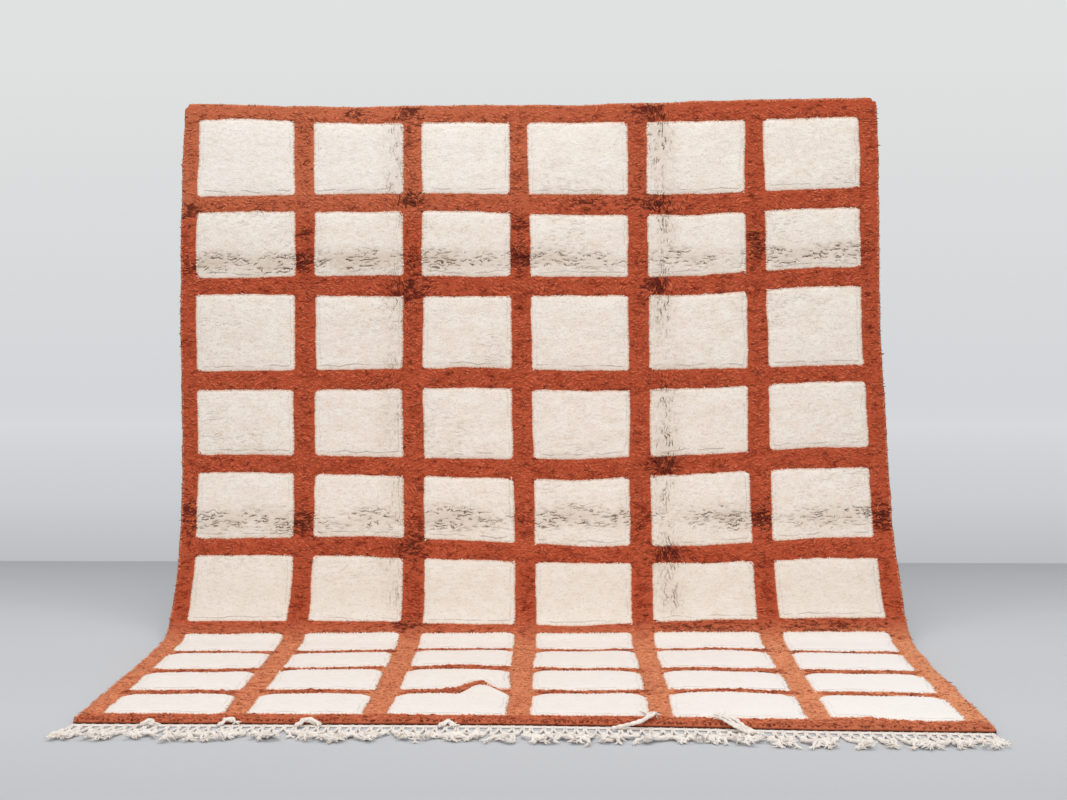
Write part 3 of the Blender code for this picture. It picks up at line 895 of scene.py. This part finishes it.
def add_fringe():
    """The warp ends: straight from the edge, knotted in pairs into a net, then loose in clumps."""
    rng = np.random.default_rng(5)
    half = GROUND_HALF
    legs = np.linspace(-half + 0.010, half - 0.010, FRINGE_LEGS)
    legs[1:-1] += rng.normal(0.0, 0.0025, FRINGE_LEGS - 2)
    x = np.repeat(legs, 2)
    side = np.tile([-1.0, 1.0], FRINGE_LEGS)
    count = len(x)
    knot_x = np.concatenate([[legs[0] - 0.004], (legs[1:] + legs[:-1]) / 2.0, [legs[-1] + 0.004]])
    knot_x = knot_x + rng.normal(0.0, 0.0025, len(knot_x))
    knot_out = NET_REACH + rng.normal(0.0, 0.004, len(knot_x)) + 0.010 * Noise(91)(knot_x / 0.14, 0.5)
    own_knot = (np.arange(count) + 1) // 2
    kx, kout = knot_x[own_knot], knot_out[own_knot]
    gather = np.clip(clump_place(kx), -half, half)
    length = LOOSE_LENGTH + 0.028 * Noise(94)(gather / 0.13, 0.5) + rng.uniform(-0.020, 0.010, count)
    spread = rng.normal(0.0, 0.016, count)
    curl = rng.normal(0.0, 0.012, count)
    corners = [edge_place(x + side * aside, out, height) for aside, out, height in (
        (0.0030, 0.010, 0.0030), (0.0030, 0.048, 0.0032), (0.0036, 0.078, 0.0034))]
    corners.append(edge_place(kx - side * 0.0044, kout - 0.008, 0.0042))
    corners.append(edge_place(kx + side * 0.0026, kout + 0.005, 0.0050))
    heights = (0.0060, 0.0074, 0.0080, 0.0074, 0.0062)
    for number, height in enumerate(heights):
        share = (number + 1.0) / len(heights)
        pull = smooth(share)
        here_x = kx + (gather - kx) * 0.72 * pull + spread * share + curl * math.sin(share * 5.0)
        here_x = np.clip(here_x, -half - 0.006, half + 0.014)
        here_out = kout + 0.005 + length * share * (1.0 - 0.12 * share) + rng.normal(0.0, 0.0030, count)
        lifted = height + rng.uniform(-0.002, 0.005, count) * share
        lifted = lifted + 0.003 * pull * np.abs(rng.normal(0.0, 1.0, count))
        corners.append(edge_place(here_x, here_out, lifted))
    paths = smooth_paths(np.stack(corners, axis=1), CORD_POINTS)
    taper = np.interp(np.linspace(0.0, 1.0, CORD_POINTS), (0.0, 0.10, 0.16, 0.33, 0.50, 0.80, 1.0),
                      (0.40, 0.42, 0.80, 0.84, 0.92, 1.16, 0.90))
    uneven = Noise(95)(np.arange(CORD_POINTS)[None] / 2.6, np.arange(count)[:, None] * 1.7)
    radius = rng.uniform(0.0046, 0.0062, count)[:, None] * taper[None] * (1.0 + 0.16 * uneven)
    cords = add_cords("fringe_cords", paths, radius, turn_length=0.024)
    return [cords, add_knots(rng, paths, knot_x, knot_out), add_edge_binding(),
            add_frayed_ends(rng, paths, "fringe_frayed_ends"), *add_thrown_strands(rng)]


def add_knots(rng, paths, knot_x, knot_out):
    """Knots: two turns of cord round each pair of strands, and round many of the loose ends."""
    centres = edge_place(knot_x, knot_out, 0.0046)
    ahead = np.tile([0.0, -1.0, 0.0], (len(centres), 1))
    size = rng.uniform(0.0064, 0.0078, len(centres))
    chosen = rng.permutation(len(paths))[:int(len(paths) * 0.35)]
    at = (CORD_POINTS * rng.uniform(0.62, 0.92, len(chosen))).astype(int)
    centres = np.concatenate([centres, paths[chosen, at]])
    ahead = np.concatenate([ahead, unit(paths[chosen, at] - paths[chosen, at - 1])])
    size = np.concatenate([size, rng.uniform(0.0064, 0.0082, len(chosen))])[:, None, None]
    across = unit(np.cross(ahead, [0.0, 0.0, 1.0]))
    top = np.cross(across, ahead)[:, None]
    across, ahead = across[:, None], ahead[:, None]
    turn = np.linspace(0.0, math.tau, 11)[None, :, None]
    loops = np.concatenate([
        centres[:, None] + size * (across * np.cos(turn) + top * np.sin(turn) * 0.5
                                   + ahead * (lean * np.cos(turn) + shift))
        for lean, shift in ((0.5, -0.35), (-0.5, 0.35))])
    loops[:, :, 2] = np.maximum(loops[:, :, 2], 0.0032)
    return add_cords("fringe_knots", loops, np.full((len(loops), 1), 0.0036), turn_length=0.017)


def add_edge_binding():
    """The narrow woven band past the overhang of the pile: wefts side by side, which hold the warp ends."""
    x = np.linspace(-GROUND_HALF + 0.002, GROUND_HALF - 0.002, 300)
    paths = [edge_place(x, BINDING_REACH + BINDING_PITCH * row + 0.0007 * Noise(96)(x / 0.05, row * 1.3),
                        0.0023) for row in range(BINDING_ROWS)]
    radius = np.full((BINDING_ROWS, 1), 0.0024)
    return add_cords("edge_binding", np.stack(paths), radius, turn_length=0.016)


def add_frayed_ends(rng, paths, name):
    """A tuft of thin hairs at the end of every cord."""
    start = np.repeat(paths[:, -2], FRAYED_HAIRS, axis=0)
    ahead = np.repeat(unit(paths[:, -1] - paths[:, -3]), FRAYED_HAIRS, axis=0)
    ahead = unit(ahead + rng.normal(0.0, 0.50, start.shape) * (1.0, 1.0, 0.5))
    ahead[:, 2] = np.clip(ahead[:, 2], -0.25, 0.45)
    length = rng.uniform(0.010, 0.024, len(start))[:, None]
    bend = rng.normal(0.0, 0.35, start.shape) * (1.0, 1.0, 0.4)
    corners = np.stack([start, start + ahead * length * 0.5, start + unit(ahead + bend) * length], axis=1)
    corners[:, :, 2] = np.maximum(corners[:, :, 2], 0.0028)
    radius = rng.uniform(0.0016, 0.0030, len(start))[:, None] * np.array([1.0, 1.15, 0.35])
    return add_cords(name, smooth_paths(corners, 3), radius, turn_length=0.05, sides=4)


# Bundles thrown back: where each starts across the rug, how many strands it has, and at its five corners
# how far right it is, how far out from the edge and how high, all in mm
THROWN_STRANDS = (
    (232, 3, (0, 35, 72, 94, 100), (66, 50, 34, 6, -20), (9, 14, 22, 30, 30)),
    (588, 4, (0, -20, -40, -58, -74), (100, 74, 48, 24, 4), (10, 14, 22, 28, 29)),
    (-806, 2, (0, 8, 16, 26, 36), (54, 36, 26, 24, 30), (7, 13, 18, 17, 10)),
    (-1010, 2, (0, 4, 10, 17, 24), (54, 42, 32, 30, 36), (7, 11, 14, 13, 8)),
    (-600, 3, (0, 8, 18, 30, 44), (56, 40, 28, 26, 34), (7, 12, 16, 15, 8)),
    (-225, 2, (0, 6, 13, 22, 32), (54, 40, 31, 30, 36), (7, 11, 14, 13, 8)),
)


def add_thrown_strands(rng):
    """A few bundles of loose strands that lie back over the border."""
    corners = []
    share = np.linspace(0.2, 1.0, 5)
    for start, strands, *columns in THROWN_STRANDS:
        right, out, height = mm(*columns)
        for number in range(strands):
            stray = (number - strands / 2.0) * 0.007 + rng.normal(0.0, 0.005, 5) * share
            far = out + rng.normal(0.0, 0.006, 5) * share
            corners.append(edge_place(start / 1000.0 + right + stray, far, height + 0.002 * (number % 3)))
    paths = smooth_paths(np.stack(corners), STRAND_POINTS)
    radius = rng.uniform(0.0052, 0.0066, len(paths))[:, None] * np.linspace(1.0, 0.85, STRAND_POINTS)
    return [add_cords("thrown_strands", paths, radius, turn_length=0.019),
            add_frayed_ends(rng, paths, "thrown_frayed_ends")]


# ---- materials

class Shader:
    """The nodes of one material. shader["name"] is an attribute of the mesh."""

    def __init__(self, name):
        self.material = bpy.data.materials.new(name)
        self.material.use_nodes = True
        self.tree = self.material.node_tree

    def feed(self, socket, value):
        if isinstance(value, Value):
            self.tree.links.new(value.socket, socket)
        else:
            socket.default_value = value

    def fill(self, node, inputs):
        """Set or link the sockets of a node by their names."""
        for key, value in inputs.items():
            wanted = key.replace("_", " ").lower()
            self.feed(next(socket for socket in node.inputs
                           if socket.name.lower() == wanted and socket.enabled), value)

    def node(self, kind, output, settings=None, **inputs):
        """Add a node, with its settings first and then its sockets, and give one of its outputs."""
        node = self.tree.nodes.new("ShaderNode" + kind)
        for key, value in (settings or {}).items():
            setattr(node, key, value)
        self.fill(node, inputs)
        return Value(self, node.outputs[output])

    def __getitem__(self, name):
        return self.node("Attribute", "Fac", {"attribute_name": name})

    def metres(self, scale, uv_map="rug_metres"):
        """A map in metres, scaled, or the piece's own place if the scale is a single number."""
        if isinstance(scale, tuple):
            source = self.node("UVMap", "UV", {"uv_map": uv_map})
            scale = (*scale, 1.0)
        else:
            source = self.node("TexCoord", "Object")
            scale = (scale, scale, scale)
        return self.node("Mapping", "Vector", Vector=source, Scale=scale)

    def place_along(self, axis):
        """The piece's own place along one axis, in metres."""
        return self.node("SeparateXYZ", axis, Vector=self.node("TexCoord", "Object"))

    def noise(self, scale, detail=2.0, roughness=0.5, distortion=0.0, uv_map="rug_metres"):
        return self.node("TexNoise", "Fac", Vector=self.metres(scale, uv_map), Scale=1.0, Detail=detail,
                         Roughness=roughness, Distortion=distortion)

    def mix(self, share, low, high):
        """A colour between two colours."""
        result = self.node("Mix", 2, {"data_type": "RGBA"})
        inputs = result.socket.node.inputs
        for socket, value in ((inputs["Factor"], share), (inputs[6], low), (inputs[7], high)):
            self.feed(socket, value)
        return result

    def layers(self, base, *layers):
        """A base colour with others over it, each by its own share."""
        for share, colour in layers:
            base = self.mix(share, base, colour)
        return base

    def finish(self, base, roughness, height=None, depth=0.0, **inputs):
        """Fill the surface, with a bump of the given depth if there is a height."""
        if height is not None:
            inputs["Normal"] = self.node("Bump", "Normal", Height=height, Distance=depth, Strength=1.0)
        self.fill(self.tree.nodes["Principled BSDF"], {"Base_Color": base, "Roughness": roughness, **inputs})
        return self.material


class Value:
    """A socket's output, so that maths on it can be written as an expression."""

    def __init__(self, shader, socket):
        self.shader = shader
        self.socket = socket

    def maths(self, operation, *values, clamp=False):
        result = self.shader.node("Math", 0, {"operation": operation, "use_clamp": clamp})
        for socket, value in zip(result.socket.node.inputs, values):
            self.shader.feed(socket, value)
        return result

    def __add__(self, other):
        return self.maths("ADD", self, other)

    def __mul__(self, other):
        return self.maths("MULTIPLY", self, other)

    def __sub__(self, other):
        return self.maths("SUBTRACT", self, other)

    def __rsub__(self, other):
        return self.maths("SUBTRACT", other, self)

    def above(self, level, softness):
        """0 below a level, rising to 1 over the given softness."""
        return self.maths("MULTIPLY", self - level, 1.0 / softness, clamp=True)

    def near(self, level, width):
        """1 at a level, falling to 0 at the given distance from it."""
        return 1.0 - self.maths("ABSOLUTE", self - level).above(0.0, width)


def linear(red, green, blue):
    """A colour from the 0 to 255 values of a screen."""
    values = (value / 255.0 for value in (red, green, blue))
    return (*(value / 12.92 if value <= 0.04045 else ((value + 0.055) / 1.055) ** 2.4
              for value in values), 1.0)


CREAM = linear(243, 236, 228)
CREAM_WARM = linear(234, 221, 207)
CREAM_SHADE = linear(200, 180, 160)
# painted shade in the cracks of the pile; also the darker patches on the woven back
CREAM_CRACK_SHADE_AND_PATCHES = linear(124, 94, 72)
# painted shade of a fold in the pile just inside the panels' edges
CREAM_FOLD_SHADE = linear(150, 132, 116)
# painted light: the paler cream where the rug is on the floor, and a little at the top
CREAM_PAINTED_LIGHT = linear(250, 245, 241)
RUST = linear(208, 101, 67)
RUST_LIGHT = linear(230, 134, 98)
# painted light: the paler rust where the rug is on the floor, and a little at the top
RUST_PAINTED_LIGHT = linear(241, 166, 121)
# darker rust: random darker patches, and painted shade at the roots of the pile
RUST_DARK = linear(162, 62, 36)
# painted shade in the depth of the parted pile, deepest where it is most open, and at the foot of the rim
RUST_PARTING_SHADE = linear(138, 46, 28)
RUST_DEEP_SHADE = linear(62, 14, 16)
# painted glow: a pale halo on the rust pile's edges and wisps, as light shows through the fuzz
RUST_HALO_GLOW = linear(244, 178, 146)
# pink at the cream's edges: partly rust fibres mixed in, partly painted glow of light scattered through the
# fuzz
PINK_BLEND_AND_GLOW = linear(232, 190, 164)
YARN = linear(248, 240, 232)
YARN_SHADE = linear(220, 205, 192)
CREAM_BACK = linear(222, 208, 186)
CREAM_WEFT = linear(206, 192, 170)
RUST_BACK = linear(176, 92, 62)


def fold_cracks(shader):
    """Fine jagged cracks that follow the folds, along the rows that the attributes count."""
    jagged = shader.noise((95.0, 95.0), 3.0, 0.65) - 0.5
    crossing = shader.noise((52.0, 52.0), 2.0, 0.6) - 0.5
    patch = shader.noise((30.0, 44.0)).above(0.22, 0.24)
    cracks = None
    for runs in ("columns", "rows"):
        rows = shader["crack_" + runs]
        opening = shader["open_" + runs] * patch
        for bent, half_width in ((rows + jagged * 1.5, 0.15), (rows * 0.83 + crossing * 3.0, 0.12)):
            line = bent.maths("FRACT", bent).near(0.5, half_width) * opening
            cracks = line if cracks is None else cracks.maths("MAXIMUM", cracks, line)
    return cracks


def cream_wool():
    shader = Shader("cream_wool")
    crack = fold_cracks(shader)
    fibre = shader.noise((190.0, 300.0), 4.0, 0.75)
    strand = shader.noise((60.0, 100.0), 3.0, 0.6, 1.2)
    pit = shader.noise((150.0, 150.0), 3.0, 0.6)
    patch = shader.noise((16.0, 22.0), 5.0, 0.7)
    wander = shader.noise((14.0, 14.0), 3.0)
    edge, light_share = shader["edge"], shader["lies"]
    # painted shade of a fold just inside the panels' edges, strongest along the lower edge
    fold = (edge + wander * 0.9 - 0.45).near(0.50, 0.10) * shader["shaded_side"]
    fold = fold * shader.noise((16.0, 16.0), 3.0).above(0.40, 0.14)
    hangs = 1.0 - light_share * 0.75
    base = shader.layers(
        CREAM,
        (patch.above(0.34, 0.32) * 0.85, CREAM_WARM),
        # painted light on the floor and at the top
        (light_share * 0.80, CREAM_PAINTED_LIGHT),
        # pink edge: rust fibres mixed in, and painted glow
        (edge.near(0.0, 0.30) * 0.40, PINK_BLEND_AND_GLOW),
        (fibre.above(0.50, 0.25) * 0.30, CREAM_WARM),
        (strand.above(0.52, 0.14) * hangs * 0.36, CREAM_SHADE),
        (pit.above(0.56, 0.10) * hangs * 0.42, CREAM_SHADE),
        (shader["crease"] * 0.52, CREAM_SHADE),
        (shader["dim"] * 0.24, CREAM_SHADE),
        (fold * 0.55, CREAM_FOLD_SHADE),
        # painted shade in and around the cracks
        (crack.above(0.02, 0.30) * 0.55, CREAM_SHADE),
        (crack.above(0.24, 0.34), CREAM_CRACK_SHADE_AND_PATCHES))
    height = fibre * 0.40 + strand * 0.65 - pit * 0.4 - crack * 0.8 - fold * 0.4
    return shader.finish(base, 0.92, height, 0.0030, Specular_IOR_Level=0.3)


def cream_locks():
    shader = Shader("cream_locks")
    base = shader.layers(
        CREAM,
        (shader["tone"] * 0.8, CREAM_WARM),
        # painted light on the floor and at the top
        (shader["lies"] * 0.80, CREAM_PAINTED_LIGHT),
        # pink tips: rust fibres mixed in, and painted glow
        (shader["reach"].above(0.20, 0.60) * 0.85, PINK_BLEND_AND_GLOW))
    fibre = shader.noise((900.0, 70.0), 2.0, 0.7, uv_map="lock_metres")
    return shader.finish(base, 0.92, fibre, 0.0008, Specular_IOR_Level=0.3)


def parted_pile(shader):
    """How far the long pile has parted in short strokes, most over a fold, and the painted shade of its
    depth.
    """
    across = shader.noise((34.0, 88.0), 2.0, 0.6, 0.9)
    upright = shader.noise((88.0, 34.0), 2.0, 0.6, 0.9)
    stroke = across + (upright - across) * shader["turned"]
    parted = (stroke + shader["open"] * 0.19 - shader["lies"] * 0.01).above(0.61, 0.11)
    return parted, shader.mix(shader["open"] * 0.75 + 0.15, RUST_PARTING_SHADE, RUST_DEEP_SHADE)


def rust_roots():
    """The body of the long pile, which shows between its locks, drawn darker as painted shade."""
    shader = Shader("rust_roots")
    streak = shader.noise((70.0, 190.0), 4.0, 0.7, 0.8)
    parted, depth = parted_pile(shader)
    base = shader.layers(
        RUST_DARK,
        (streak.above(0.36, 0.25), RUST),
        # painted light on the floor and at the top
        (shader["lies"] * 0.75, RUST_PAINTED_LIGHT),
        # painted glow along the edges
        (shader["edge"].near(0.0, 0.12) * 0.35, RUST_HALO_GLOW),
        (streak.above(0.50, 0.12) * 0.40, RUST_DARK),
        # painted shade where the pile parts, and painted shadow at the foot of its rim
        (parted * 0.85, depth),
        (shader["low"].above(0.25, 0.50) * 0.9, RUST_DEEP_SHADE))
    return shader.finish(base, 0.95, streak - parted * 0.8, 0.005, Specular_IOR_Level=0.15)


def rust_locks(name, body, tip):
    """Wool that is paler at its tips, with painted shade at its roots."""
    shader = Shader(name)
    reach = shader["reach"]
    swell = shader.noise((17.0, 30.0), 3.0, 0.6, 0.6)
    tone = shader["tone"] - (swell - 0.45).above(0.0, 0.30) * 0.58
    fibre = shader.noise((900.0, 70.0), 2.0, 0.7, uv_map="lock_metres")
    parted, depth = parted_pile(shader)
    base = shader.layers(
        RUST_DARK,
        (tone.above(0.05, 0.55), body),
        (reach.above(0.35, 0.65) * (tone * 0.65 + 0.14), tip),
        # painted light on the floor and at the top
        (shader["lies"] * (tone * 0.45 + 0.40), RUST_PAINTED_LIGHT),
        # painted shade at the roots
        (reach.near(0.0, 0.5) * 0.30, RUST_DARK),
        (fibre.above(0.50, 0.25) * 0.22, RUST_DARK),
        # painted shade where the pile parts
        (parted * (0.90 - reach * 0.20), depth))
    return shader.finish(base, 0.92, fibre * 0.20 - parted, 0.0035, Specular_IOR_Level=0.15)


def fringe_yarn():
    shader = Shader("fringe_yarn")
    fibre = shader.noise(620.0, 2.0, 0.7)
    base = shader.layers(
        YARN,
        (shader.noise(38.0).above(0.40, 0.30) * 0.6, YARN_SHADE),
        (fibre.above(0.55, 0.25) * 0.3, YARN_SHADE))
    return shader.finish(base, 0.9, fibre, 0.0008, Sheen_Weight=0.15, Sheen_Roughness=0.5)


def woven_back(name, knots):
    """The back of the ground: rows of knots between rows of weft."""
    shader = Shader(name)
    row, knot = (shader.node("TexWave", "Fac", {"bands_direction": way, "wave_profile": "SIN"},
                             Vector=shader.metres((1.0, 1.0)), Scale=scale,
                             Distortion=distortion, Detail=1.0, Detail_Scale=8.0)
                 for way, scale, distortion in (("Y", KNOT_ROW_SCALE, 0.6), ("X", KNOT_COLUMN_SCALE, 0.4)))
    patch = shader.noise((30.0, 30.0), 3.0)
    base = shader.layers(
        CREAM_WEFT,
        (row.above(0.30, 0.35) * (knot * 0.45 + 0.55), knots),
        (patch.above(0.40, 0.35) * 0.30, CREAM_CRACK_SHADE_AND_PATCHES))
    return shader.finish(base, 0.9, row * (knot * 0.5 + 0.5) + patch * 0.2, 0.0018)


def pale_floor():
    """Pale grey, a little darker at both ends."""
    shader = Shader("pale_floor")
    back = shader.place_along("Y")
    base = shader.mix((back * -1.0).above(0.6, 0.7), linear(200, 202, 206), linear(190, 192, 196))
    return shader.finish(shader.mix(back.above(1.1, 1.3), base, linear(174, 176, 180)), 0.7)


def pale_backdrop():
    """A sweep of paper that glows by itself, as painted light, and grows lighter upwards."""
    shader = Shader("pale_backdrop")
    back = shader.place_along("Y")
    glow = shader.layers(
        linear(179, 181, 185),
        (back.above(STAGE_DEPTH, 2.6), linear(195, 197, 201)),
        (back.above(5.0, 7.0), linear(207, 209, 212)),
        (shader.place_along("Z").above(0.0, 4.0), linear(221, 223, 222)))
    shader.material.cycles.emission_sampling = "NONE"
    return shader.finish((0.02, 0.02, 0.02, 1.0), 1.0, Emission_Color=glow, Emission_Strength=1.0)


# ---- camera and stage

PHOTO_WIDTH = 1067.0
FOCAL_PIXELS = 1780.7        # focal length, in the photograph's pixels
HORIZON_RISE = 88.4          # the horizon's height over the middle of the frame, in the same pixels
CAMERA_PLACE = (0.1036, -5.3454, 1.0935)
CAMERA_TURN = math.radians(0.92)
STAGE_DEPTH = 2.43           # where the floor gives way to the backdrop, behind the rug
STAGE_WIDTH = 50.0
STAGE_LEVEL = -0.0005
SWEEP_BEND = 12.0            # where the backdrop begins to curve up, past every camera
SWEEP_RADIUS = 3.0


def add_camera():
    data = bpy.data.cameras.new("camera")
    data.sensor_width = 36.0
    data.lens = FOCAL_PIXELS / PHOTO_WIDTH * data.sensor_width
    data.shift_y = -HORIZON_RISE / PHOTO_WIDTH
    data.clip_end = 100.0
    camera = bpy.data.objects.new("camera", data)
    camera.location = CAMERA_PLACE
    camera.rotation_euler = (math.radians(90.0), 0.0, CAMERA_TURN)
    bpy.context.scene.collection.objects.link(camera)
    bpy.context.scene.camera = camera


def add_area_light(name, place_at, look_at, size, power):
    data = bpy.data.lights.new(name, "AREA")
    data.shape = "RECTANGLE"
    data.size, data.size_y = size
    data.energy = power
    data.color = (1.0, 1.0, 0.99)
    light = bpy.data.objects.new(name, data)
    light.location = place_at
    light.rotation_euler = (Vector(look_at) - Vector(place_at)).to_track_quat("-Z", "Y").to_euler()
    light.visible_camera = False
    bpy.context.scene.collection.objects.link(light)


def add_stage():
    """A pale floor, and behind it a backdrop that runs flat and then sweeps up, and hides no view."""
    bpy.ops.object.select_all(action="DESELECT")
    middle = (0.0, STAGE_DEPTH - STAGE_WIDTH / 2.0, STAGE_LEVEL)
    bpy.ops.mesh.primitive_plane_add(size=STAGE_WIDTH, location=middle)
    floor = bpy.context.object
    floor.name = "floor"
    bpy.ops.object.transform_apply(location=True)
    floor.data.materials.append(pale_floor())
    backdrop, column, row = add_grid("backdrop", 2, 40)
    turn = np.clip((row - 10) / 20.0, 0.0, 1.0) * math.pi / 2.0
    depth = STAGE_DEPTH + (SWEEP_BEND - STAGE_DEPTH) * np.clip(row / 10.0, 0.0, 1.0)
    rise = SWEEP_RADIUS * (1.0 - np.cos(turn)) + 1.2 * np.clip(row - 30, 0, None)
    points = [(column - 1) * STAGE_WIDTH / 2.0, depth + SWEEP_RADIUS * np.sin(turn), rise + STAGE_LEVEL]
    set_points(backdrop, np.stack(points, axis=1))
    backdrop.data.shade_smooth()
    backdrop.data.materials.append(pale_backdrop())


def add_lights():
    """Soft light from above and in front, and colours shown as they are."""
    bpy.context.scene.view_settings.view_transform = "Standard"
    world = bpy.data.worlds.new("studio")
    bpy.context.scene.world = world
    world.use_nodes = True
    background = world.node_tree.nodes["Background"]
    background.inputs["Color"].default_value = (0.98, 0.99, 1.0, 1.0)
    background.inputs["Strength"].default_value = 0.60
    add_area_light("overhead", (0.0, -0.9, 4.8), (0.1, 0.4, 0.4), (5.0, 3.0), 104.0)
    add_area_light("front", (0.2, -8.0, 3.0), (0.1, 0.6, 1.2), (5.0, 2.4), 178.0)


# ---- the scene

def dress(things, material, node="rug"):
    """Give pieces their finish, and let them stand for their solid."""
    for thing in things:
        if material:
            thing.data.materials.clear()
            thing.data.materials.append(material)
        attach(thing, "root")
        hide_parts(node)


def main():
    add_camera()
    add_stage()
    add_lights()
    roots, panels = add_pile()
    locks = add_rust_locks()
    wisps = add_rim_locks()
    edging = add_cream_edge_locks()
    ground = add_ground()
    fringe = add_fringe()
    dress([roots], rust_roots())
    dress(panels, cream_wool())
    dress(locks, rust_locks("rust_wool", RUST, RUST_LIGHT))
    dress([wisps], rust_locks("rust_wisps", RUST_LIGHT, RUST_HALO_GLOW))
    dress([edging], cream_locks())
    dress([ground], None)
    dress(fringe, fringe_yarn(), "fringe")
    [roots, wisps, edging] + panels + locks + fringe


main()
